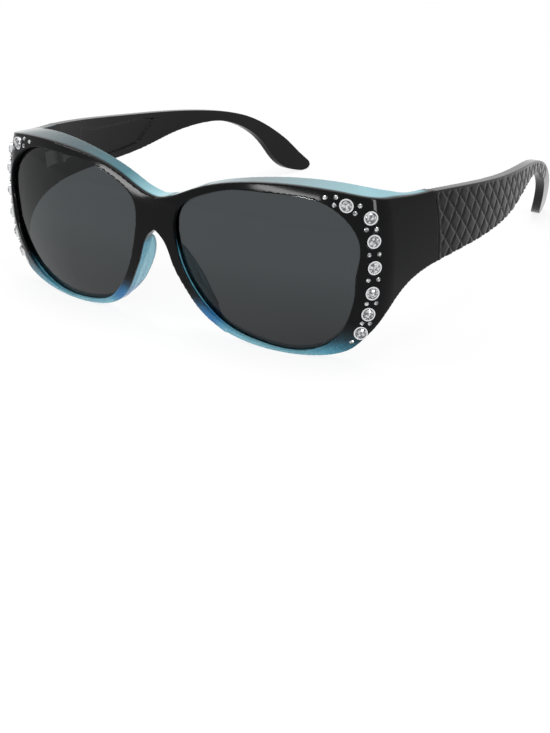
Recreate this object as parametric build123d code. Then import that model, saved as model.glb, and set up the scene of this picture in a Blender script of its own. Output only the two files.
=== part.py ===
from build123d import *

import os
from math import atan2, cos, degrees, hypot, pi, radians, sin, sqrt

# Fitover sunglasses: a deep wrap-round front moulding with two curved lenses, two quilted temples that
# fold on small three-barrel metal hinges, and a line of round faceted stones down each outer rim.
# X runs across the face (+X is the wearer's left), the front looks towards -Y and Z is up.
# The wearer's left half is modelled upright, tipped so that the pair stands on its rims and the tips of
# its temples, and mirrored.

os.makedirs("parts", exist_ok=True)

# Plan curve of the front, where it stands furthest forward: three arcs and a straight side to the seam
brow_radius = 457.0
brow_turn = 4.65
cheek_radius = 105.5
cheek_turn = 14.05
corner_radius = 14.0
corner_turn = 61.5
seam_y = 37.0

# Upright section of the mouldings: an arc, so that top and bottom lie further back than the middle,
# which stands at a share of the front's height
front_height = 51.2
section_radius = 80.0
section_middle_share = 0.5566
section_spare = 1.8
front_low = -2.0
temple_low = 0.0
section_steps = 4
wall = 3.5

# Brow line and lower rim line: shares of the length to the seam and of the front's height
brow_shares = (
    (0.0, 0.812), (0.057, 0.836), (0.135, 0.898), (0.231, 0.953), (0.345, 0.986), (0.459, 1.0),
    (0.576, 0.994), (0.673, 0.975), (0.755, 0.949), (0.863, 0.924), (0.949, 0.91), (1.061, 0.896),
)
low_shares = (
    (0.0, 0.621), (0.039, 0.551), (0.067, 0.416), (0.096, 0.312), (0.135, 0.191), (0.183, 0.098),
    (0.249, 0.033), (0.337, -0.004), (0.439, -0.01), (0.537, 0.008), (0.604, 0.039), (0.652, 0.082),
    (0.699, 0.148), (0.745, 0.229), (0.791, 0.332), (0.844, 0.42), (0.92, 0.477), (1.061, 0.504),
)

# Roof behind the brow: its thickness, and its rear edge at each brow place as shares of the half width
# and of the seam's distance
roof = 2.0
roof_shares = (
    (0.0, 0.2), (0.075, 0.203), (0.173, 0.216), (0.293, 0.246), (0.433, 0.305), (0.573, 0.381),
    (0.693, 0.457), (0.793, 0.541), (0.859, 0.63), (0.901, 0.746), (0.928, 0.935), (0.952, 1.189),
)
roof_spare = 6.0

# Lens opening: centre, largest half width, and its shares at equal angles from the temple side upwards
lens_along = 33.3
lens_middle_share = 0.5605
lens_reach = 33.3
opening_shares = (
    0.979, 0.997, 0.817, 0.637, 0.58, 0.607, 0.688, 0.817, 0.766, 0.733, 0.745, 0.793, 0.829, 0.913,
    0.997, 1.0,
)

# Lens, and the groove that holds its edge
lens_depth = 1.6
lens_thickness = 1.0
lens_hold = 0.9
lens_clearance = 0.05

# Nose flanges behind the nasal rims: the lobe is in shares of their reach and of the front's height
flange_thickness = 1.9
flange_inset = 0.15
flange_places = (1, 2, 3, 4, 5, 6)
flange_reach = 10.4
flange_shares = (
    (0.173, 0.576), (0.442, 0.559), (0.692, 0.5), (0.904, 0.4), (1.0, 0.283), (0.942, 0.176),
    (0.769, 0.102), (0.538, 0.062), (0.404, 0.051),
)

# Temples: wall, plan arc from the seam with a straight tip, and the side outline in shares of the
# temple's length and of the front's height
temple_gap = 0.16
temple_wall = 3.2
temple_heading = 82.2
temple_radius = 191.0
temple_turn = 21.2
temple_length = 134.0
temple_lead = 3.0
tip_straight = 66.0
temple_top_shares = (
    (-0.022, 0.908), (0.149, 0.854), (0.299, 0.799), (0.448, 0.75), (0.597, 0.691), (0.686, 0.638),
    (0.774, 0.554), (0.844, 0.447), (0.912, 0.306), (0.965, 0.162),
)
temple_tip_shares = ((0.983, 0.095), (0.968, 0.066), (0.926, 0.073))
temple_low_shares = (
    (0.89, 0.105), (0.864, 0.152), (0.841, 0.225), (0.817, 0.32), (0.785, 0.41), (0.74, 0.492),
    (0.693, 0.55), (0.645, 0.588), (0.582, 0.602), (0.463, 0.578), (0.373, 0.535), (0.284, 0.514),
    (0.149, 0.508), (-0.022, 0.494),
)

# Quilting on the outside of each temple: two crossing families of V grooves, below a plain top band
quilt_pitch = 6.0
quilt_rise = 7.0
quilt_depth = 0.4
quilt_half = 0.5
quilt_raise = 0.3
quilt_first = 3.0
quilt_last = 100.0
quilt_band = 1.5
quilt_steps = 4
quilt_scan = 0.1
quilt_spare = 4

# Shallow pocket inside each temple: rounded rear end first, then the corners at the front
pocket_depth = 0.8
pocket_round_shares = ((0.104, 0.814), (0.269, 0.756), (0.433, 0.701), (0.463, 0.668))
pocket_straight_shares = ((0.403, 0.598), (0.269, 0.564), (0.104, 0.559))

# Hinges: barrels, leaf plates with their pads, and the screw
hinge_height_share = 0.703
barrel_radius = 1.4
barrel_inset = 0.35
barrel_height = 1.7
barrel_gap = 0.05
leaf_thickness = 0.9
leaf_start = 1.7
leaf_length = 7.0
leaf_fit = 0.03
pad_margin = 1.1
screw_radius = 0.6
screw_fit = 0.05
head_radius = 1.15
head_height = 0.6
slot_width = 0.3
slot_depth = 0.3

# Stones down the outer rim, as shares of the length to the seam and of the front's height
large_shares = (
    (0.636, 0.926), (0.713, 0.863), (0.721, 0.738), (0.723, 0.592), (0.719, 0.445), (0.71, 0.318),
    (0.69, 0.199),
)
small_shares = (
    (0.569, 0.957), (0.602, 0.963), (0.599, 0.922), (0.679, 0.926), (0.663, 0.887), (0.7, 0.801),
    (0.731, 0.801), (0.708, 0.664), (0.738, 0.664), (0.706, 0.52), (0.736, 0.52), (0.704, 0.381),
    (0.734, 0.381), (0.693, 0.26), (0.719, 0.256), (0.659, 0.137),
)
cup_radius = 2.0
cup_wall = 0.38
cup_sunk = 0.6
cup_proud = 0.45
stone_fit = 0.04
stone_proud = 0.95
stone_girdle = 0.4
stone_slope = 42.0
stone_sunk = 0.3
small_radius = 0.66
small_proud = 0.4
small_sunk = 0.35
small_slope = 40.0
seat_fit = 0.02
facets = 8

# How far the trimming tools reach past what they trim
overrun = 1.0
side_spare = 3.0
far_out = 12.0
far_in = 7.0
cut_back = 12.0
tall = 60.0
wide = 90.0
long = 200.0
settle_steps = 4


def along(arcs, s, x, y, heading):
    """Point and heading, in degrees, after this length along arcs and then a straight line."""
    for radius, turn in arcs:
        part = min(s, radius * radians(turn))
        after = heading + degrees(part / radius)
        x += radius * (sin(radians(after)) - sin(radians(heading)))
        y += radius * (cos(radians(heading)) - cos(radians(after)))
        heading = after
        s -= part
    return x + s * cos(radians(heading)), y + s * sin(radians(heading)), heading


def bulge(z):
    """How far the outer skin lies behind its foremost line at this height."""
    return section_radius - sqrt(section_radius**2 - (z - section_middle) ** 2)


def behind(place, z, depth):
    """Point at this height, this far behind the outer skin at a plan place."""
    x, y, heading = place
    back = depth + bulge(z)
    return Vector(x - back * sin(radians(heading)), y + back * cos(radians(heading)), z)


def skin(s, z, depth=0):
    """Point of the front this far behind its outer skin, at a length from the bridge and a height."""
    return behind(along(front_arcs, s, 0, 0, 0), z, depth)


def side(t, z, depth=0):
    """Point of the temple this far behind its outer skin, at a length from the seam and a height."""
    return behind(along(temple_arcs, t, seam_x, seam_y, temple_heading), z, depth)


def sized(shares, length, height):
    """Places from shares of a length and of a height."""
    return [(length * first, height * second) for first, second in shares]


def section(near, far, low):
    """Upright slice of a moulding between two depths, with the outer skin at y = 0."""

    def curve(depth):
        radius = section_radius - depth
        points = []
        slopes = []
        for step in range(section_steps + 1):
            rise = low + (section_high - low) * step / section_steps - section_middle
            back = sqrt(radius**2 - rise**2)
            points.append((0, section_radius - back, section_middle + rise))
            slopes.append((0, rise / back, 1))
        return Spline(points, tangents=(slopes[0], slopes[-1]))

    outer = curve(near)
    inner = curve(far)
    return Face(Wire([outer, Line(outer @ 1, inner @ 1), inner, Line(inner @ 0, outer @ 0)]))


def moulded(near, far, low, arcs, straight, x=0, y=0, heading=0):
    """Solid between two depths of the skin: the section turned through each arc, then drawn straight."""
    whole = None
    for radius, turn in arcs:
        piece = Pos(x, y, 0) * Rot(0, 0, heading) * section(near, far, low)
        centre = (x - radius * sin(radians(heading)), y + radius * cos(radians(heading)), 0)
        turned = revolve(piece, Axis(centre, (0, 0, 1)), turn)
        whole = turned if whole is None else whole + turned
        x, y, heading = along(((radius, turn),), radius * radians(turn), x, y, heading)
    piece = Pos(x, y, 0) * Rot(0, 0, heading) * section(near, far, low)
    return whole + extrude(piece, straight, dir=(cos(radians(heading)), sin(radians(heading)), 0))


def ruled_prism(first, second, rise):
    """Solid swept up or down from the ruled face between two curves through points."""
    face = Face.make_surface_from_curves(Spline(first), Spline(second))
    return extrude(face, abs(rise), dir=(0, 0, rise / abs(rise)))


def lens_plug(extra):
    """Solid inside the lens outline widened by extra, with walls square to the skin."""
    count = len(opening_shares)

    def curve(depth):
        points = []
        for number, share in enumerate(opening_shares):
            angle = 2 * pi * number / count
            reach = lens_reach * share + extra
            points.append(skin(lens_along + reach * cos(angle), lens_middle + reach * sin(angle), depth))
        return Spline(points, periodic=True)

    outer = curve(-far_out)
    inner = curve(far_in)
    walls = Face.make_surface_from_curves(outer, inner)
    return Solid(Shell([walls, Face.make_surface(Wire([outer])), Face.make_surface(Wire([inner]))]))


def block(x_range, y_range, z_range):
    """Box between two values along each axis."""
    sides = [high - low for low, high in (x_range, y_range, z_range)]
    middle = [(high + low) / 2 for low, high in (x_range, y_range, z_range)]
    return Pos(*middle) * Box(*sides)


section_middle = front_height * section_middle_share
section_high = front_height + section_spare
lens_middle = front_height * lens_middle_share
hinge_height = front_height * hinge_height_share
front_arcs = ((brow_radius, brow_turn), (cheek_radius, cheek_turn), (corner_radius, corner_turn))
temple_arcs = ((temple_radius, temple_turn),)
front_turned = sum(radius * radians(turn) for radius, turn in front_arcs)
turned_x, turned_y, side_heading = along(front_arcs, front_turned, 0, 0, 0)
side_length = (seam_y - turned_y) / sin(radians(side_heading))
seam_s = front_turned + side_length
seam_x = along(front_arcs, seam_s, 0, 0, 0)[0]

# Front frame, left half: the wall and the roof, trimmed to the brow and rim lines
brow_line = sized(brow_shares, seam_s, front_height)
low_line = sized(low_shares, seam_s, front_height)
brow_front = [skin(s, z, -overrun) for s, z in brow_line]
brow_rear = [Vector(x, y, z) for (x, y), (s, z) in zip(sized(roof_shares, seam_x, seam_y), brow_line)]
brow_spare = [rear + (rear - front).normalized() * roof_spare for rear, front in zip(brow_rear, brow_front)]
above = ruled_prism(brow_front, brow_spare, tall)
plan_front = [Vector(point.X, point.Y, 0) for point in (skin(s, z, overrun) for s, z in brow_line)]
plan_rear = [Vector(point.X, point.Y, 0) for point in brow_rear]
roof_plate = ruled_prism(brow_front, brow_spare, -roof) & ruled_prism(plan_front, plan_rear, tall)
low_front = [skin(s, z, -overrun) for s, z in low_line]
low_rear = [skin(s, z, cut_back - bulge(z)) for s, z in low_line]
below = ruled_prism(low_front, low_rear, -tall)
frame_half = moulded(0, wall, front_low, front_arcs, side_length + side_spare) - above - below + roof_plate

# Nose flange: a curved band along the nasal rim, cut to a lobe seen from the side
flange_outer = []
flange_inner = []
for number in flange_places:
    s, z = low_line[number]
    before_s, before_z = low_line[number - 1]
    after_s, after_z = low_line[number + 1]
    length = hypot(after_s - before_s, after_z - before_z)
    square_s = (before_z - after_z) / length
    square_z = (after_s - before_s) / length
    reach = flange_inset + flange_thickness
    flange_outer.append(Vector(s + square_s * flange_inset, 0, z + square_z * flange_inset))
    flange_inner.append(Vector(s + square_s * reach, 0, z + square_z * reach))
flange_face = Face.make_surface_from_curves(Spline(flange_outer), Spline(flange_inner))
lobe_edge = Spline([Vector(0, y, z) for y, z in sized(flange_shares, flange_reach, front_height)])
lobe = extrude(Face(Wire([lobe_edge, Line(lobe_edge @ 1, lobe_edge @ 0)])), wide, dir=(1, 0, 0))
flange = extrude(flange_face, cut_back, dir=(0, 1, 0)) & lobe

# Lens opening, the groove in its wall, and the lens that sits in the groove
wide_plug = lens_plug(lens_hold + lens_clearance)
frame_half = frame_half - lens_plug(0)
groove_near = lens_depth - lens_clearance
groove_far = lens_depth + lens_thickness + lens_clearance
groove_layer = moulded(groove_near, groove_far, front_low, front_arcs, side_length)
frame_half = frame_half - (groove_layer & wide_plug) + (flange - wide_plug)
lens_layer = moulded(lens_depth, lens_depth + lens_thickness, front_low, front_arcs, side_length)
lens = lens_layer & lens_plug(lens_hold)

# Hinge: its axis stands in the seam, inboard of the inner face of the side panel
axis_place = skin(seam_s, hinge_height, wall + barrel_radius + barrel_inset)
hinge_y = seam_y + temple_gap / 2
hinge_x = axis_place.X + (hinge_y - axis_place.Y) / sin(radians(side_heading)) * cos(radians(side_heading))
half_stack = barrel_height * 1.5 + barrel_gap
plate_range = (barrel_radius - leaf_thickness, barrel_radius)
plate_end = leaf_start + leaf_length


def hinge_frame(heading):
    """Location at the hinge, with local X out through the side and local Y to the rear."""
    direction = (sin(radians(heading)), -cos(radians(heading)), 0)
    return Plane(origin=(hinge_x, hinge_y, hinge_height), x_dir=direction, z_dir=(0, 0, 1)).location


def y_span(way, near, far):
    """Range along the panel, to the front for -1 and to the rear for +1."""
    return tuple(sorted((way * near, way * far)))


def leaf(way, levels, fit):
    """Hinge leaf: a plate with one tongue and barrel at each level."""
    shape = block(plate_range, y_span(way, leaf_start, plate_end), (-half_stack, half_stack))
    for level in levels:
        low = level * (barrel_height + barrel_gap) - barrel_height / 2
        tongue = block(plate_range, y_span(way, 0, leaf_start + leaf_thickness), (low, low + barrel_height))
        shape = shape + tongue + Pos(0, 0, low + barrel_height / 2) * Cylinder(barrel_radius, barrel_height)
    return shape - Cylinder(screw_radius + fit, tall)


def pad(way):
    """Pad on the inner face of a panel, and the pocket in it for the leaf's plate."""
    edge = half_stack + pad_margin
    body_x = (plate_range[0], barrel_radius + wall / 2)
    body = block(body_x, y_span(way, leaf_start + leaf_fit, plate_end + pad_margin), (-edge, edge))
    edge = half_stack + leaf_fit
    pocket = block((0, barrel_radius + leaf_fit), y_span(way, 0, plate_end + leaf_fit), (-edge, edge))
    return body, pocket


front_place = hinge_frame(side_heading)
temple_place = hinge_frame(temple_heading)
front_leaf = front_place * leaf(-1, (-1, 1), leaf_fit)
temple_leaf = temple_place * leaf(1, (0,), screw_fit)
head_low = half_stack + leaf_fit
screw = Cylinder(screw_radius, half_stack * 2)
screw = screw + Pos(0, 0, head_low / 2) * Cylinder(screw_radius, head_low)
screw = screw + Pos(0, 0, head_low + head_height / 2) * Cylinder(head_radius, head_height)
screw = screw - Pos(0, 0, head_low + head_height) * Box(head_radius * 3, slot_width, slot_depth * 2)
screw = front_place * screw
pad_body, pad_pocket = pad(-1)
frame_half = frame_half + front_place * pad_body
frame_half = frame_half - front_place * pad_pocket
frame_half = frame_half & block((0, wide), (-wide, seam_y), (-wide, wide))


# Stones, their settings and the seats cut for them
def on_skin(place):
    """Location on the front's outer skin, with local Z square to it."""
    s, z = place
    return Plane(origin=skin(s, z), z_dir=skin(s, z, -overrun) - skin(s, z)).location


low_align = (Align.CENTER, Align.CENTER, Align.MIN)
stone_radius = cup_radius - cup_wall - stone_fit
large_stone = extrude(RegularPolygon(stone_radius, facets), stone_sunk + stone_girdle)
large_stone = Pos(0, 0, -stone_sunk) * large_stone
crown = extrude(RegularPolygon(stone_radius, facets), stone_proud - stone_girdle, taper=stone_slope)
large_stone = large_stone + Pos(0, 0, stone_girdle) * crown
cup = Pos(0, 0, -cup_sunk) * Cylinder(cup_radius, cup_sunk + cup_proud, align=low_align)
cup = cup - Pos(0, 0, -stone_sunk) * Cylinder(cup_radius - cup_wall, wall, align=low_align)
small_stone = Pos(0, 0, -small_sunk) * extrude(RegularPolygon(small_radius, facets), small_sunk)
small_stone = small_stone + extrude(RegularPolygon(small_radius, facets), small_proud, taper=small_slope)
large_seat = Pos(0, 0, -cup_sunk) * Cylinder(cup_radius + seat_fit, wall, align=low_align)
small_seat = Pos(0, 0, -small_sunk) * extrude(RegularPolygon(small_radius + seat_fit, facets), wall)
large_places = sized(large_shares, seam_s, front_height)
small_places = sized(small_shares, seam_s, front_height)
cups = [on_skin(place) * cup for place in large_places]
large_stones = [on_skin(place) * large_stone for place in large_places]
small_stones = Compound(children=[on_skin(place) * small_stone for place in small_places])
frame_half = frame_half - [on_skin(place) * large_seat for place in large_places]
frame_half = frame_half - [on_skin(place) * small_seat for place in small_places]

# Temple: the same skin carried on behind the seam, cut to its side outline
temple_top = sized(temple_top_shares, temple_length, front_height)
temple_tip = sized(temple_tip_shares, temple_length, front_height)
temple_low_line = sized(temple_low_shares, temple_length, front_height)
lead_place = along(temple_arcs, -temple_lead, seam_x, seam_y, temple_heading)
lead_arcs = ((temple_radius, temple_turn + degrees(temple_lead / temple_radius)),)


def side_prism(rounded, straight):
    """Prism across the temple from a side outline: a curve through points, closed by straight lines."""
    edge = Spline([Vector(0, side(t, z).Y, z) for t, z in rounded])
    corners = [edge @ 1] + [Vector(0, side(t, z).Y, z) for t, z in straight] + [edge @ 0]
    lines = [Line(first, second) for first, second in zip(corners, corners[1:])]
    return extrude(Face(Wire([edge] + lines)), wide, dir=(1, 0, 0))


def height_at(line, t):
    """Height of an outline at this length, straight between its points."""
    rows = sorted(line)
    for (t_low, z_low), (t_high, z_high) in zip(rows, rows[1:]):
        if t_low <= t <= t_high:
            return z_low + (z_high - z_low) * (t - t_low) / (t_high - t_low)
    return rows[-1][1]


def groove_stations(start, way):
    """Evenly spaced places up a slanted line, from below the lower edge to the plain top band."""
    count = round((quilt_last - quilt_first) / quilt_scan)
    inside = []
    for number in range(count + 1):
        t = quilt_first + (quilt_last - quilt_first) * number / count
        z = section_middle + way * quilt_rise / quilt_pitch * (t - start)
        above_edge = z > height_at(temple_low_line, t) - overrun
        below_band = z < height_at(temple_top, t) - quilt_band
        if above_edge and below_band:
            inside.append((t, z))
    if len(inside) * quilt_scan < quilt_pitch / 2:
        return []
    (t_first, z_first), (t_last, z_last) = inside[::way][0], inside[::way][-1]
    shares = [step / (quilt_steps - 1) for step in range(quilt_steps)]
    return [(t_first + (t_last - t_first) * share, z_first + (z_last - z_first) * share) for share in shares]


def quilt_groove(stations, way):
    """V groove along a slanted line on the temple's skin."""
    slope = hypot(quilt_pitch, quilt_rise)
    spread = quilt_half * (quilt_depth + quilt_raise) / quilt_depth
    across_t = spread * quilt_rise / slope
    across_z = -way * spread * quilt_pitch / slope
    sections = []
    for t, z in stations:
        bottom = side(t, z, quilt_depth)
        first = side(t + across_t, z + across_z, -quilt_raise)
        second = side(t - across_t, z - across_z, -quilt_raise)
        sections.append(Face(Wire.make_polygon((bottom, first, second), close=True)))
    return loft(sections, ruled=True)


temple = moulded(0, temple_wall, temple_low, lead_arcs, tip_straight, *lead_place)
temple = temple & side_prism(temple_top + temple_tip + temple_low_line, [])
temple = temple & block((0, wide), (seam_y + temple_gap, long), (-wide, wide))
pocket_near = temple_wall - pocket_depth
pocket_layer = moulded(pocket_near, temple_wall + overrun, temple_low, lead_arcs, tip_straight, *lead_place)
pocket_round = sized(pocket_round_shares, temple_length, front_height)
pocket_straight = sized(pocket_straight_shares, temple_length, front_height)
temple = temple - (pocket_layer & side_prism(pocket_round, pocket_straight))
pad_body, pad_pocket = pad(1)
temple = temple + temple_place * pad_body
temple = temple - temple_place * pad_pocket
for way in (-1, 1):
    count = round(quilt_last / quilt_pitch) + quilt_spare * 2
    lines = [groove_stations((number - quilt_spare) * quilt_pitch, way) for number in range(count)]
    temple = temple - [quilt_groove(stations, way) for stations in lines if stations]

# Tip everything about X until the rims and the tips of the temples rest on one plane, and centre it
tilt = 0
for step in range(settle_steps):
    front_box = (Rot(tilt, 0, 0) * frame_half).bounding_box()
    temple_box = (Rot(tilt, 0, 0) * temple).bounding_box()
    tilt += degrees(atan2(front_box.min.Z - temple_box.min.Z, temple_length))
front_box = (Rot(tilt, 0, 0) * frame_half).bounding_box()
temple_box = (Rot(tilt, 0, 0) * temple).bounding_box()
drop = min(front_box.min.Z, temple_box.min.Z)
stand = Pos(0, -(front_box.min.Y + temple_box.max.Y) / 2, -drop) * Rot(tilt, 0, 0)

left_pieces = {
    "lens_{}": lens,
    "temple_{}": temple,
    "hinge_front_leaf_{}": front_leaf,
    "hinge_temple_leaf_{}": temple_leaf,
    "hinge_screw_{}": screw,
    "small_stones_{}": small_stones,
}
for number, (cup_shape, stone_shape) in enumerate(zip(cups, large_stones), start=1):
    left_pieces["stone_cup_{}_" + str(number)] = cup_shape
    left_pieces["stone_{}_" + str(number)] = stone_shape

frame_half = stand * frame_half
export_step(frame_half + mirror(frame_half, about=Plane.YZ), "parts/front_frame.step")
for pattern, shape in left_pieces.items():
    standing = stand * shape
    export_step(standing, "parts/" + pattern.format("left") + ".step")
    export_step(mirror(standing, about=Plane.YZ), "parts/" + pattern.format("right") + ".step")

hinge_point = (stand * Pos(hinge_x, hinge_y, hinge_height)).position
print("tilt", round(tilt, 4), "lift", round(-drop, 4))
print("left hinge at", hinge_point, "axis", (0, round(-sin(radians(tilt)), 6), round(cos(radians(tilt)), 6)))
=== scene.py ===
from math import cos, pi, radians, sin

import bmesh
import bpy
import numpy as np
from mathutils import Matrix, Vector


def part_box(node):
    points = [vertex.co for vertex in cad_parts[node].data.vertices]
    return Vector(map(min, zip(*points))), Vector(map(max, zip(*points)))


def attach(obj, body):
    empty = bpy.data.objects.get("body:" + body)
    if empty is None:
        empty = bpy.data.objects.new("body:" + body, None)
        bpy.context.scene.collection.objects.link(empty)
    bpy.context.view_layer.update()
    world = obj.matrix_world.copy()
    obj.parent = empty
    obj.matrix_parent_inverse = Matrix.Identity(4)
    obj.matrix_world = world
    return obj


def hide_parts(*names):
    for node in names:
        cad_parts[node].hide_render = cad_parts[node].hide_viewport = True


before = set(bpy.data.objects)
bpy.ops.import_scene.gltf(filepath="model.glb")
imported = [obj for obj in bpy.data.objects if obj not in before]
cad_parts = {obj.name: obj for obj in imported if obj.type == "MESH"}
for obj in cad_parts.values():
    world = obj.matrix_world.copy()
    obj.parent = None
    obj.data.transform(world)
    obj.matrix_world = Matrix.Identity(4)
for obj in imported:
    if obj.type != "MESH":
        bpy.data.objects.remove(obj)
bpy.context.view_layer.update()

# Studio
# The pair stands on a white sweep in a white room, lit by soft boxes from above and from both sides, and by
# two strips that draw the highlights along the brow. The camera stands to the wearer's left, a little above.
scene = bpy.context.scene
scene.view_settings.view_transform = "Standard"


def colour(code):
    """Linear RGBA from an sRGB hex code."""
    parts = [int(code[at:at + 2], 16) / 255 for at in (1, 3, 5)]
    return [v / 12.92 if v <= 0.04045 else ((v + 0.055) / 1.055) ** 2.4 for v in parts] + [1.0]


def node(tree, kind, inputs=(), stops=(), **settings):
    """Adds a node: inputs are (socket, value or output) pairs, stops a ramp's (place, code) pairs."""
    made = tree.nodes.new(kind)
    for name, value in settings.items():
        setattr(made, name, value)
    for socket, value in inputs:
        if isinstance(value, bpy.types.NodeSocket):
            tree.links.new(value, made.inputs[socket])
        else:
            made.inputs[socket].default_value = value
    if stops:
        ramp = made.color_ramp.elements
        for element, (place, code) in zip(ramp, (stops[0], stops[-1])):
            element.position = place
            element.color = colour(code)
        for place, code in stops[1:-1]:
            ramp.new(place).color = colour(code)
    return made


def emptied(owner):
    """The node tree of a new world or material, with nothing in it."""
    owner.use_nodes = True
    owner.node_tree.nodes.clear()
    return owner.node_tree


def seen_directly(tree):
    """One where a camera, glossy or transmitted ray looks at the background, otherwise nought."""
    path = node(tree, "ShaderNodeLightPath").outputs
    either = node(tree, "ShaderNodeMath", [(0, path["Is Camera Ray"]), (1, path["Is Glossy Ray"])],
                  operation="MAXIMUM").outputs[0]
    return node(tree, "ShaderNodeMath", [(0, either), (1, path["Is Transmission Ray"])],
                operation="MAXIMUM").outputs[0]


studio_white = colour("#FFFFFF")
fill_strength = 0.55
scene.world = bpy.data.worlds.new("white_room")
tree = emptied(scene.world)
seen = node(tree, "ShaderNodeBackground", [("Color", studio_white), ("Strength", 1.0)])
fill = node(tree, "ShaderNodeBackground", [("Color", studio_white), ("Strength", fill_strength)])
room = node(tree, "ShaderNodeMixShader",
            [(0, seen_directly(tree)), (1, fill.outputs[0]), (2, seen.outputs[0])])
node(tree, "ShaderNodeOutputWorld", [("Surface", room.outputs[0])])

# Matt seamless paper, which looks white and keeps a share of the object's shadow.
floor_half = 4.0
floor_shadow = 0.16
floor_material = bpy.data.materials.new("white_sweep")
tree = emptied(floor_material)
paper = node(tree, "ShaderNodeBsdfDiffuse", [("Color", studio_white)])
glow = node(tree, "ShaderNodeEmission", [("Color", studio_white), ("Strength", 1.0)])
share = node(tree, "ShaderNodeMath", [(0, seen_directly(tree)), (1, 1 - floor_shadow)], operation="MULTIPLY")
sweep = node(tree, "ShaderNodeMixShader",
             [(0, share.outputs[0]), (1, paper.outputs[0]), (2, glow.outputs[0])])
node(tree, "ShaderNodeOutputMaterial", [("Surface", sweep.outputs[0])])
corners = [(x * floor_half, y * floor_half, 0) for x, y in ((-1, -1), (1, -1), (1, 1), (-1, 1))]
floor_mesh = bpy.data.meshes.new("floor")
floor_mesh.from_pydata(corners, [], [(0, 1, 2, 3)])
floor_mesh.materials.append(floor_material)
floor = bpy.data.objects.new("floor", floor_mesh)
scene.collection.objects.link(floor)


def aimed(place, target, roll):
    """Placing of a lamp or camera that looks from a place to a target, rolled by some degrees."""
    looking = (Vector(target) - Vector(place)).to_track_quat("-Z", "Y").to_matrix().to_4x4()
    return Matrix.Translation(Vector(place)) @ looking @ Matrix.Rotation(radians(roll), 4, "Z")


# Each lamp has a name, a place, a target, its width and height, its watts and its roll in degrees.
middle = (0, 0, 0.025)
soft_boxes = (
    ("top_box", (0.0, 0.1, 1.0), middle, (0.9, 0.4), 4.5, 0),
    ("left_box", (-0.9, -0.7, 0.6), middle, (0.2, 0.6), 4.0, 0),
    ("right_box", (0.95, -0.3, 0.34), middle, (0.12, 0.5), 4.0, 0),
    ("brow_box_left", (-0.154, -0.836, 0.21), (0.043, -0.077, 0.05), (0.325, 0.035), 1.0, 0),
    ("brow_box_right", (-0.548, -0.674, 0.073), (-0.013, -0.08, 0.045), (0.15, 0.035), 0.45, -40))
for name, place, target, (width, height), watts, roll in soft_boxes:
    lamp = bpy.data.lights.new(name, "AREA")
    lamp.shape = "RECTANGLE"
    lamp.size = width
    lamp.size_y = height
    lamp.energy = watts
    box = bpy.data.objects.new(name, lamp)
    box.matrix_world = aimed(place, target, roll)
    box.visible_camera = not name.startswith("brow")
    scene.collection.objects.link(box)

camera_place = (0.23768, -0.36853, 0.16442)
camera_target = (0.01627, -0.04456, -0.02342)
camera_roll = -1.2536
camera_lens = 65.146
camera_data = bpy.data.cameras.new("camera")
camera_data.sensor_width = 36.0
camera_data.lens = camera_lens
camera_data.clip_start = 0.01
camera = bpy.data.objects.new("camera", camera_data)
camera.matrix_world = aimed(camera_place, camera_target, camera_roll)
scene.collection.objects.link(camera)
scene.camera = camera

# Front frame
# One injection moulding of nylon, black above and fading to clear aqua at the lower rims, the nose and the
# roof behind the brow. Its skin is part of a barrel that turns by three arcs to each side.

# Sizes are in millimetres where the front stands plumb: x across, y backwards from the bridge and z up.
# Only the voxels of the finer meshes are in metres, as Blender takes them.
tilt = radians(-1.3773)
stand_back = 83.28
stand_lift = 0.816
section_radius = 80.0
section_middle = 28.5
front_arcs = ((457.0, radians(4.65)), (105.5, radians(14.05)), (14.0, radians(61.5)))
front_wall = 3.5
snap = 0.2
fine_voxel = 0.00026


def vectors(items, field):
    """One vector per vertex or normal, as rows."""
    rows = np.empty(len(items) * 3)
    items.foreach_get(field, rows)
    return rows.reshape(-1, 3)


def turned_about_x(rows, angle):
    """Rows turned about the X axis."""
    x, y, z = rows.T
    return np.stack([x, y * cos(angle) - z * sin(angle), y * sin(angle) + z * cos(angle)], 1)


def upright(standing):
    """Plumb points in millimetres, from points at rest in metres."""
    return turned_about_x(standing * 1000 + (0, stand_back, -stand_lift), -tilt)


def at_rest(plumb):
    """The way back from upright()."""
    return (turned_about_x(plumb, tilt) + (0, -stand_back, stand_lift)) / 1000


def bulge(z):
    """How far the skin lies behind its foremost line at a height."""
    return section_radius - np.sqrt(section_radius ** 2 - (z - section_middle) ** 2)


def plan_places(x, y, arcs, start, heading):
    """Length along a plan curve, distance behind it and heading there, for points beside it."""
    length = np.zeros_like(x)
    back = np.zeros_like(x)
    turned = np.zeros_like(x)
    todo = np.ones(len(x), bool)
    s = 0.0
    px, py = start
    for radius, turn in arcs:
        cx = px - radius * sin(heading)
        cy = py + radius * cos(heading)
        angle = np.arctan2(x - cx, cy - y)
        here = todo & (angle <= heading + turn)
        length[here] = s + radius * (angle[here] - heading)
        back[here] = radius - np.hypot(x - cx, y - cy)[here]
        turned[here] = angle[here]
        todo &= ~here
        s += radius * turn
        px += radius * (sin(heading + turn) - sin(heading))
        py += radius * (cos(heading) - cos(heading + turn))
        heading += turn
    length[todo] = s + ((x - px) * cos(heading) + (y - py) * sin(heading))[todo]
    back[todo] = (-(x - px) * sin(heading) + (y - py) * cos(heading))[todo]
    turned[todo] = heading
    return length, back, turned


def skin_places(plumb, arcs=front_arcs, start=(0.0, 0.0), heading=0.0):
    """Length along the skin, depth below it and heading, for plumb points on either side."""
    length, back, turned = plan_places(np.abs(plumb[:, 0]), plumb[:, 1], arcs, start, heading)
    return length, back - bulge(plumb[:, 2]), turned


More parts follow.
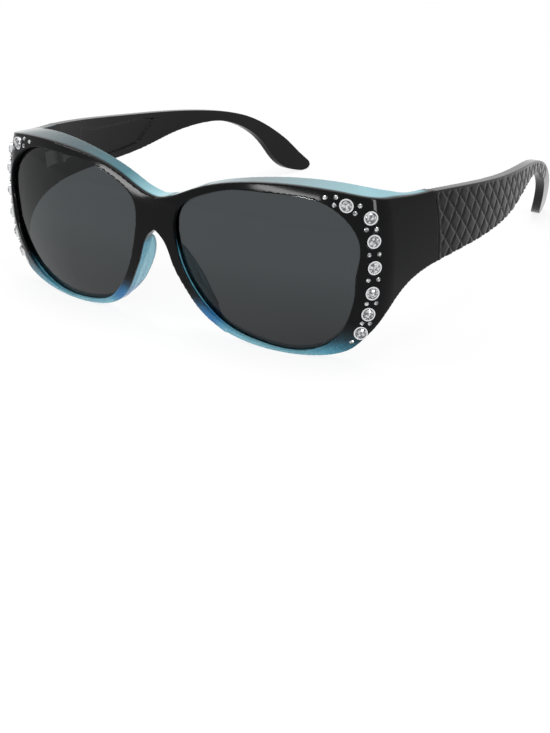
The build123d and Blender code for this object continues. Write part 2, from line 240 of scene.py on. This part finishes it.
def sunk(plumb, turned, amount):
    """The points moved inwards by this much, level and square to the plan curve."""
    moved = plumb.copy()
    moved[:, 0] -= np.sign(plumb[:, 0]) * np.sin(turned) * amount
    moved[:, 1] += np.cos(turned) * amount
    return moved


def settled(depth, level, width=snap):
    """Depths drawn on to a level from closer than a width, with no step."""
    off = depth - level
    near = np.clip(np.abs(off) / width, 0, 1)
    return level + off * near ** 2 * (3 - 2 * near)


def share_of(values, nought, one):
    """How far the values have come from where the share is nought to where it is one."""
    return np.clip((values - nought) / (one - nought), 0, 1)


def refined(source, name, voxel, passes):
    """Even, fine copy of a CAD node's mesh with eased edges."""
    piece = bpy.data.objects.new(name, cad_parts[source].data.copy())
    scene.collection.objects.link(piece)
    remesh = piece.modifiers.new("even", "REMESH")
    remesh.mode = "VOXEL"
    remesh.voxel_size = voxel
    ease = piece.modifiers.new("ease", "SMOOTH")
    ease.factor = 0.5
    ease.iterations = passes
    mesh = bpy.data.meshes.new_from_object(piece.evaluated_get(bpy.context.evaluated_depsgraph_get()))
    piece.modifiers.clear()
    piece.data = mesh
    mesh.name = name
    mesh.polygons.foreach_set("use_smooth", [True] * len(mesh.polygons))
    mesh.materials.clear()
    return piece


def laid(mesh, plumb):
    """Puts plumb points back into a mesh."""
    mesh.vertices.foreach_set("co", at_rest(plumb).ravel())
    mesh.update()


lens_along = 33.3
lens_middle = 28.7
lens_reach = 33.0
even_band = 3.0
even_bumps = ((0.6, -11, 7), (-0.35, -27, 8), (-0.3, 6, 7))


def evened(plumb, length, turned):
    """Evens the outer edge of a lens opening along the skin. A bump is a shift, and an angle and spread."""
    across = length - lens_along
    rise = plumb[:, 2] - lens_middle
    angle = np.degrees(np.arctan2(rise, across))
    shift = sum(size * np.exp(-((angle - at) / spread) ** 2) for size, at, spread in even_bumps)
    shift *= np.exp(-((np.hypot(across, rise) - lens_reach) / even_band) ** 2)
    outward = shift * np.cos(np.radians(angle))
    moved = plumb.copy()
    moved[:, 0] += np.sign(plumb[:, 0]) * np.cos(turned) * outward
    moved[:, 1] += np.sin(turned) * outward
    moved[:, 2] += shift * np.sin(np.radians(angle))
    return moved


front = refined("front_frame", "front_moulding", fine_voxel, 5)
plumb = upright(vectors(front.data.vertices, "co"))
length, depth, turned = skin_places(plumb)
new_depth = settled(settled(depth, 0.0), front_wall)
plumb = sunk(plumb, turned, new_depth - depth)
laid(front.data, evened(plumb, length, turned))

# How clear the moulding is, from nought where it is black to one where it is clear aqua. The black lies on
# the skin and thins out downwards. The lower edges, the nose flanges and the roof show the clear body.
# Heights are shares of the front's height, and places along are shares of the way to the temple's seam.
front_height = 51.2
seam_length = 98.0
height_share = plumb[:, 2] / front_height
along_share = length / seam_length
fade_along = (0.0, 0.15, 0.3, 0.55, 0.72, 1.0)
black_down_to = np.interp(along_share, fade_along, (0.28, 0.3, 0.22, 0.25, 0.27, 0.12))
clear_up_to = np.interp(along_share, fade_along, (0.06, 0.08, 0.01, -0.03, -0.07, -0.1))
fade = share_of(height_share, black_down_to, clear_up_to)
edge_strength = 0.8
edge_top = np.interp(along_share, (0.0, 0.2, 0.35, 0.55, 0.7), (0.66, 0.62, 0.4, 0.26, 0.24))
edge_clear = share_of(new_depth, 0.4, 1.0) * share_of(height_share, edge_top, edge_top - 0.14)
edge_clear *= edge_strength * share_of(along_share, 0.8, 0.7)
nose_clear = share_of(new_depth, front_wall - 0.1, front_wall + 0.7)
nose_clear *= (along_share < 0.3) & (height_share < 0.72)
upward = turned_about_x(vectors(front.data.vertex_normals, "vector"), -tilt)[:, 2]
roof = share_of(new_depth, 0.9, 1.8) * share_of(height_share, 0.75, 0.8)
roof *= share_of(along_share, 0.985, 0.955) * share_of(upward, 0.3, 0.6)
pool_along, pool_height = 0.17, 0.13
pool_length, pool_rise = 0.05, 0.08
pool = ((along_share - pool_along) / pool_length) ** 2 + ((height_share - pool_height) / pool_rise) ** 2
pool = np.exp(-pool)
masks = {"clearness": np.maximum.reduce([fade, edge_clear, nose_clear]), "roof": roof, "pool": pool,
         "roof_place": 0.5 + 0.5 * np.sign(plumb[:, 0]) * along_share}

# Nylon from a polished mould is glossy, so that the brow mirrors the lamps. Where the black thins out it is
# clouded, and the clear body lets light through and pools to a deeper blue beside the nose. The flecks of
# the cloud are drawn at 0.45 mm, coarser than real ones, so that they show.
fleck_size = 0.4545
fleck_strength = 0.3
clear_transmission = 0.5
pool_blue = "#1767B0"
roof_cloud = "#9CC8D0"
roof_cloud_strength = 0.25
black_to_aqua = ((0.0, "#050506"), (0.18, "#090F12"), (0.38, "#152F39"), (0.56, "#2E6377"),
                 (0.74, "#569DB3"), (1.0, "#97D2E1"))
roof_tones = ((0.0, "#141516"), (0.1, "#2C2F31"), (0.2, "#272F34"), (0.33, "#142D34"), (0.43, "#2E6572"),
              (0.5, "#A0CFD8"), (0.56, "#93AEB4"), (0.66, "#6E7679"), (0.76, "#7D9EA5"), (0.86, "#89B7C1"),
              (0.97, "#78ABB8"))
frame_material = bpy.data.materials.new("moulded_nylon_black_to_aqua")
tree = emptied(frame_material)
mask = {}
for title, values in masks.items():
    front.data.attributes.new(title, "FLOAT", "POINT").data.foreach_set("value", values.astype(np.float32))
    mask[title] = node(tree, "ShaderNodeAttribute", attribute_name=title).outputs["Fac"]
place = node(tree, "ShaderNodeTexCoord").outputs["Object"]
fleck = node(tree, "ShaderNodeTexNoise", [("Vector", place), ("Scale", 1000 / fleck_size), ("Detail", 3.0)])
spread = node(tree, "ShaderNodeMath", [(0, fleck.outputs["Fac"]), (1, 0.5)], operation="SUBTRACT")
spread = node(tree, "ShaderNodeMath", [(0, spread.outputs[0]), (1, fleck_strength), (2, mask["clearness"])],
              operation="MULTIPLY_ADD")
shade = node(tree, "ShaderNodeValToRGB", [("Fac", spread.outputs[0])], stops=black_to_aqua)
pooled = node(tree, "ShaderNodeMath", [(0, mask["pool"]), (1, mask["clearness"])], operation="MULTIPLY")
shade = node(tree, "ShaderNodeMix", [("Factor", pooled.outputs[0]), ("A", shade.outputs["Color"]),
                                     ("B", colour(pool_blue))], data_type="RGBA")
roof_tone = node(tree, "ShaderNodeValToRGB", [("Fac", mask["roof_place"])], stops=roof_tones)
cloud = node(tree, "ShaderNodeMath", [(0, fleck.outputs["Fac"]), (1, roof_cloud_strength)],
             operation="MULTIPLY")
roof_tone = node(tree, "ShaderNodeMix", [("Factor", cloud.outputs[0]), ("A", roof_tone.outputs["Color"]),
                                         ("B", colour(roof_cloud))], data_type="RGBA")
tone = node(tree, "ShaderNodeMix", [("Factor", mask["roof"]), ("A", shade.outputs["Result"]),
                                    ("B", roof_tone.outputs["Result"])], data_type="RGBA")
through = node(tree, "ShaderNodeMath", [(0, mask["clearness"]), (1, clear_transmission)],
               operation="MULTIPLY")
moulded = node(tree, "ShaderNodeBsdfPrincipled", [
    ("Base Color", tone.outputs["Result"]), ("Roughness", 0.08), ("IOR", 1.5), ("Specular IOR Level", 0.11),
    ("Transmission Weight", through.outputs[0])])
node(tree, "ShaderNodeOutputMaterial", [("Surface", moulded.outputs[0])])
front.data.materials.append(frame_material)
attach(front, "front")
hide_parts("front_frame")

# Lenses
# Smoke grey sheets of 1 mm polycarbonate, curved as the front is and held in the groove of each rim.
# Their grey is a little lighter upwards, and they are clear enough to show the temples behind them.
lens_front = 1.6
lens_back = 2.6

# Polished polycarbonate is smooth as glass. Its IOR is below the real 1.58, so that it mirrors less of the
# white room and stays as dark as it looks. The heights of the lightening are in metres, and the dye's clouds
# in millimetres.
lighter_from, lighter_to = 0.004, 0.028
lens_grey_low = "#2B2C2D"
lens_grey_high = "#404547"
dye_cloud = "#3B3F41"
dye_cloud_size = 33.33
dye_cloud_strength = 0.2
lens_material = bpy.data.materials.new("smoke_polycarbonate")
tree = emptied(lens_material)
place = node(tree, "ShaderNodeTexCoord").outputs["Object"]
cloud = node(tree, "ShaderNodeTexNoise",
             [("Vector", place), ("Scale", 1000 / dye_cloud_size), ("Detail", 1.0)])
cloud = node(tree, "ShaderNodeMath", [(0, cloud.outputs["Fac"]), (1, dye_cloud_strength)],
             operation="MULTIPLY")
# The grey lightens upwards, between two heights.
rise = node(tree, "ShaderNodeSeparateXYZ", [("Vector", place)]).outputs["Z"]
rise = node(tree, "ShaderNodeMapRange", [("Value", rise), ("From Min", lighter_from), ("From Max", lighter_to)])
dye = node(tree, "ShaderNodeMix", [("Factor", rise.outputs["Result"]), ("A", colour(lens_grey_low)),
                                   ("B", colour(lens_grey_high))], data_type="RGBA")
dye = node(tree, "ShaderNodeMix", [("Factor", cloud.outputs[0]), ("A", dye.outputs["Result"]),
                                   ("B", colour(dye_cloud))], data_type="RGBA")
smoke = node(tree, "ShaderNodeBsdfPrincipled", [
    ("Base Color", dye.outputs["Result"]), ("Roughness", 0.02), ("IOR", 1.28),
    ("Specular IOR Level", 0.3), ("Transmission Weight", 1.0)])
node(tree, "ShaderNodeOutputMaterial", [("Surface", smoke.outputs[0])])

for side in ("left", "right"):
    lens = refined("lens_" + side, "lens_sheet_" + side, fine_voxel, 2)
    plumb = upright(vectors(lens.data.vertices, "co"))
    length, depth, turned = skin_places(plumb)
    new_depth = settled(settled(depth, lens_front), lens_back)
    laid(lens.data, evened(sunk(plumb, turned, new_depth - depth), length, turned))
    lens.data.materials.append(lens_material)
    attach(lens, "front")
    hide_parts("lens_" + side)

# Temples
# Black nylon mouldings that bend in along one arc. Two crossing families of grooves quilt the outside, with
# crowned pads between them, and the inside has a shallow pocket and the pad that holds the hinge leaf.
temple_voxel = 0.00028
temple_start = (74.98, 37.0)
temple_heading = radians(82.2)
temple_arcs = ((191.0, radians(21.2)),)
temple_wall = 3.2
quilt_pitch = 6.0
quilt_rise = 7.0
quilt_depth = 0.42
quilt_round = 1.5
quilt_band = 0.4
quilt_start = 0.8
quilt_end = 108.0

# Outlines are (length along the temple, height) points.
temple_top = ((-3.0, 46.5), (20.0, 43.7), (40.1, 40.9), (60.0, 38.4), (80.0, 35.4), (91.9, 32.7),
              (103.7, 28.4), (113.1, 22.9))
pocket_floor = 2.4
pocket_end = 45.4
pocket_low = 30.2
pocket_slant = 1.27
pocket_reach = 64.0
pocket_lower_edge = ((45.0, 29.4), (54.0, 30.0), (62.0, 33.0))
pocket_upper_edge = ((45.0, 38.2), (58.0, 36.4), (62.0, 35.3))

# Polished black nylon. Handling has broken its gloss a little, in smears some millimetres across.
smear_size = 8.333
clean_black = "#060607"
smeared_black = "#0C0C0D"
temple_material = bpy.data.materials.new("moulded_nylon_black")
tree = emptied(temple_material)
place = node(tree, "ShaderNodeTexCoord").outputs["Object"]
smear = node(tree, "ShaderNodeTexNoise", [("Vector", place), ("Scale", 1000 / smear_size), ("Detail", 4.0)])
dull = node(tree, "ShaderNodeMapRange", [("Value", smear.outputs["Fac"]), ("To Min", 0.10), ("To Max", 0.2)])
black = node(tree, "ShaderNodeMix", [("Factor", smear.outputs["Fac"]), ("A", colour(clean_black)),
                                     ("B", colour(smeared_black))], data_type="RGBA")
polished = node(tree, "ShaderNodeBsdfPrincipled", [
    ("Base Color", black.outputs["Result"]), ("Roughness", dull.outputs["Result"]), ("IOR", 1.5),
    ("Specular IOR Level", 0.17)])
node(tree, "ShaderNodeOutputMaterial", [("Surface", polished.outputs[0])])


def quilted(length, z):
    """Depth of the outer face: grooves at two crossing slopes, with crowned pads between them."""
    relief = np.zeros_like(length)
    for way in (-1, 1):
        phase = (length - (z - section_middle) * way * quilt_pitch / quilt_rise) / quilt_pitch
        off = np.abs(phase - np.round(phase)) * quilt_pitch * quilt_rise / np.hypot(quilt_pitch, quilt_rise)
        near = 1 - np.clip(off / quilt_round, 0, 1)
        relief = np.maximum(relief, quilt_depth * (1 - np.sqrt(1 - near ** 2)))
    band_edge = np.interp(length, *zip(*temple_top)) - quilt_band
    relief *= share_of(z, band_edge, band_edge - 0.5)
    relief *= share_of(length, quilt_start, quilt_start + 0.8)
    return relief * share_of(length, quilt_end, quilt_end - 4)


def past_pocket(length, z, depth):
    """One where the solid's pocket runs on behind the slanted end of the real one."""
    within = (length < pocket_reach) & (depth > pocket_floor - 0.2)
    within &= z > np.interp(length, *zip(*pocket_lower_edge))
    within &= z < np.interp(length, *zip(*pocket_upper_edge))
    end = pocket_end + (z - pocket_low) * pocket_slant
    return within * share_of(length, end, end + 0.35)


for side in ("left", "right"):
    temple = refined("temple_" + side, "quilted_temple_" + side, temple_voxel, 4)
    plumb = upright(vectors(temple.data.vertices, "co"))
    z = plumb[:, 2]
    length, depth, turned = skin_places(plumb, temple_arcs, temple_start, temple_heading)
    new_depth = settled(settled(settled(depth, 0.0, 0.12), temple_wall), pocket_floor)
    normals = turned_about_x(vectors(temple.data.vertex_normals, "vector"), -tilt)
    facing = np.sign(plumb[:, 0]) * np.sin(turned) * normals[:, 0] - np.cos(turned) * normals[:, 1]
    outer_face = share_of(facing, 0.45, 0.75) * share_of(depth, 1.1, 0.8)
    new_depth += (quilted(length, z) - new_depth) * outer_face
    new_depth += (temple_wall - new_depth) * past_pocket(length, z, new_depth)
    laid(temple.data, sunk(plumb, turned, new_depth - depth))
    temple.data.materials.append(temple_material)
    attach(temple, side + "_temple")
    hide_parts("temple_" + side)

# Stone settings
# Turned cups of plated brass, seven on each side, that are pressed into the skin, hold the large stones and
# show as a thin ring around each. Bright plating is a mirror, a little dulled in spots by wear. The spots
# are drawn at 0.4 mm, coarser than real ones, so that they show.
stones_a_side = 7
wear_size = 0.4
plating = "#DADBDD"
setting_material = bpy.data.materials.new("bright_plated_brass")
tree = emptied(setting_material)
place = node(tree, "ShaderNodeTexCoord").outputs["Object"]
wear = node(tree, "ShaderNodeTexNoise", [("Vector", place), ("Scale", 1000 / wear_size), ("Detail", 2.0)])
dull = node(tree, "ShaderNodeMapRange", [("Value", wear.outputs["Fac"]), ("To Min", 0.12), ("To Max", 0.3)])
plated = node(tree, "ShaderNodeBsdfPrincipled", [
    ("Base Color", colour(plating)), ("Metallic", 1.0), ("Roughness", dull.outputs["Result"])])
node(tree, "ShaderNodeOutputMaterial", [("Surface", plated.outputs[0])])
for side in ("left", "right"):
    for number in range(1, stones_a_side + 1):
        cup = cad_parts["stone_cup_%s_%d" % (side, number)]
        cup.data.materials.clear()
        cup.data.materials.append(setting_material)

# Stones
# Round cut glass with a foil back: seven large ones in their cups and sixteen small ones glued into seats,
# down each side. Each has the crown of a brilliant cut, turned a little from that of its neighbour.

# Sizes are in metres: a stone's radius, the height of its table and the height of its girdle.
large_stone = (0.00158, 0.00094, 0.0004)
small_stone = (0.00064, 0.00039, 0.0001)
stone_foot = 0.0003
table_share = 0.56
star_share = 0.8
star_rise = 0.55
large_turn = 0.37
small_turn = 0.53

# Painted glints: light and dark spots of 0.67 mm in the colour stand for the light that the foil throws back
# through the facets of the back, seen through the table, so that the glass looks like broken silver.
glint_spot_size = 0.6667
painted_glint_light = "#FFFFFF"
painted_glint_dark = "#5A5C60"
stone_material = bpy.data.materials.new("foiled_cut_glass")
tree = emptied(stone_material)
place = node(tree, "ShaderNodeTexCoord").outputs["Object"]
# Painted glints, light in the middle of each spot and darker towards its edge.
spark = node(tree, "ShaderNodeTexVoronoi", [("Vector", place), ("Scale", 1000 / glint_spot_size)])
glint = node(tree, "ShaderNodeMapRange", [("Value", spark.outputs["Distance"]), ("From Max", 0.7)])
# The painted glints mixed from the light and the dark colour.
silver = node(tree, "ShaderNodeMix", [("Factor", glint.outputs["Result"]), ("A", colour(painted_glint_light)),
                                      ("B", colour(painted_glint_dark))], data_type="RGBA")
cut = node(tree, "ShaderNodeBsdfPrincipled", [
    ("Base Color", silver.outputs["Result"]), ("Metallic", 0.85), ("Roughness", 0.08), ("Coat Weight", 1.0),
    ("Coat Roughness", 0.02)])
node(tree, "ShaderNodeOutputMaterial", [("Surface", cut.outputs[0])])


def on_skin(centre):
    """Foot on the skin and direction square to it, for a stone whose middle is at a point at rest."""
    plumb = upright(np.array([centre]))
    length, depth, turned = skin_places(plumb)
    foot = sunk(plumb, turned, -depth)
    rise = (plumb[0, 2] - section_middle) / section_radius
    level = (1 - rise ** 2) ** 0.5
    normal = np.array([np.sign(plumb[0, 0]) * sin(turned[0]) * level, -cos(turned[0]) * level, rise])
    foot, tip = (Vector(at_rest(rows)[0]) for rows in (foot, foot + normal))
    return foot, (tip - foot).normalized()


def ring(bm, placing, count, radius, height, start=0.0):
    """Ring of vertices about a stone's axis."""
    angles = [start + 2 * pi * step / count for step in range(count)]
    return [bm.verts.new(placing @ Vector((radius * cos(a), radius * sin(a), height))) for a in angles]


def add_stone(bm, centre, cut_sizes, turn):
    """Brilliant cut crown: a table, eight star facets, eight kites and sixteen girdle facets."""
    radius, proud, girdle = cut_sizes
    foot, normal = on_skin(centre)
    square = normal.to_track_quat("Z", "Y").to_matrix().to_4x4()
    placing = Matrix.Translation(foot) @ square @ Matrix.Rotation(turn, 4, "Z")
    table = ring(bm, placing, 8, radius * table_share, proud)
    stars = ring(bm, placing, 8, radius * star_share, girdle + (proud - girdle) * star_rise, pi / 8)
    rim = ring(bm, placing, 16, radius, girdle)
    base = ring(bm, placing, 16, radius, -stone_foot)
    bm.faces.new(table)
    for step in range(8):
        after = (step + 1) % 8
        bm.faces.new((table[step], stars[step], table[after]))
        bm.faces.new((table[after], stars[step], rim[2 * after], stars[after]))
        bm.faces.new((stars[step], rim[2 * step], rim[2 * step + 1]))
        bm.faces.new((stars[step], rim[2 * step + 1], rim[2 * after]))
    for step in range(16):
        after = (step + 1) % 16
        bm.faces.new((rim[step], base[step], base[after], rim[after]))
    bm.faces.new(base[::-1])


def stone_piece(source, bm):
    """Piece from cut stones that stands for a CAD node."""
    bmesh.ops.recalc_face_normals(bm, faces=bm.faces)
    mesh = bpy.data.meshes.new("cut_" + source)
    bm.to_mesh(mesh)
    bm.free()
    mesh.materials.append(stone_material)
    piece = bpy.data.objects.new("cut_" + source, mesh)
    scene.collection.objects.link(piece)
    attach(piece, "front")
    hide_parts(source)


def lumps(mesh):
    """Middles of a mesh's separate solids."""
    bm = bmesh.new()
    bm.from_mesh(mesh)
    bmesh.ops.remove_doubles(bm, verts=bm.verts, dist=1e-6)
    middles = []
    unseen = set(bm.verts)
    while unseen:
        group = [unseen.pop()]
        for vert in group:
            for edge in vert.link_edges:
                other = edge.other_vert(vert)
                if other in unseen:
                    unseen.remove(other)
                    group.append(other)
        middles.append(sum((vert.co for vert in group), Vector()) / len(group))
    bm.free()
    return sorted(middles, key=lambda point: (round(point.z, 6), point.x))


for side in ("left", "right"):
    for number in range(1, stones_a_side + 1):
        source = "stone_%s_%d" % (side, number)
        low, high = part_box(source)
        bm = bmesh.new()
        add_stone(bm, (low + high) / 2, large_stone, number * large_turn)
        stone_piece(source, bm)
    source = "small_stones_" + side
    bm = bmesh.new()
    for number, centre in enumerate(lumps(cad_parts[source].data)):
        add_stone(bm, centre, small_stone, number * small_turn)
    stone_piece(source, bm)

# Hinges
# Three-barrel hinges of stamped nickel silver, each with its screw, set in pads of the mouldings. They are
# left as they come from tumbling, with a soft grey sheen. Its grain is drawn at 0.56 mm, coarser than the
# real one, so that it shows.
tumbled_grain = 0.5556
nickel_silver = "#B9B6B0"
hinge_material = bpy.data.materials.new("tumbled_nickel_silver")
tree = emptied(hinge_material)
place = node(tree, "ShaderNodeTexCoord").outputs["Object"]
grain = node(tree, "ShaderNodeTexNoise",
             [("Vector", place), ("Scale", 1000 / tumbled_grain), ("Detail", 4.0)])
dull = node(tree, "ShaderNodeMapRange",
            [("Value", grain.outputs["Fac"]), ("To Min", 0.28), ("To Max", 0.45)])
metal = node(tree, "ShaderNodeBsdfPrincipled", [
    ("Base Color", colour(nickel_silver)), ("Metallic", 1.0), ("Roughness", dull.outputs["Result"])])
node(tree, "ShaderNodeOutputMaterial", [("Surface", metal.outputs[0])])
for side in ("left", "right"):
    for part in ("hinge_front_leaf_", "hinge_temple_leaf_", "hinge_screw_"):
        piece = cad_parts[part + side]
        piece.data.materials.clear()
        piece.data.materials.append(hinge_material)
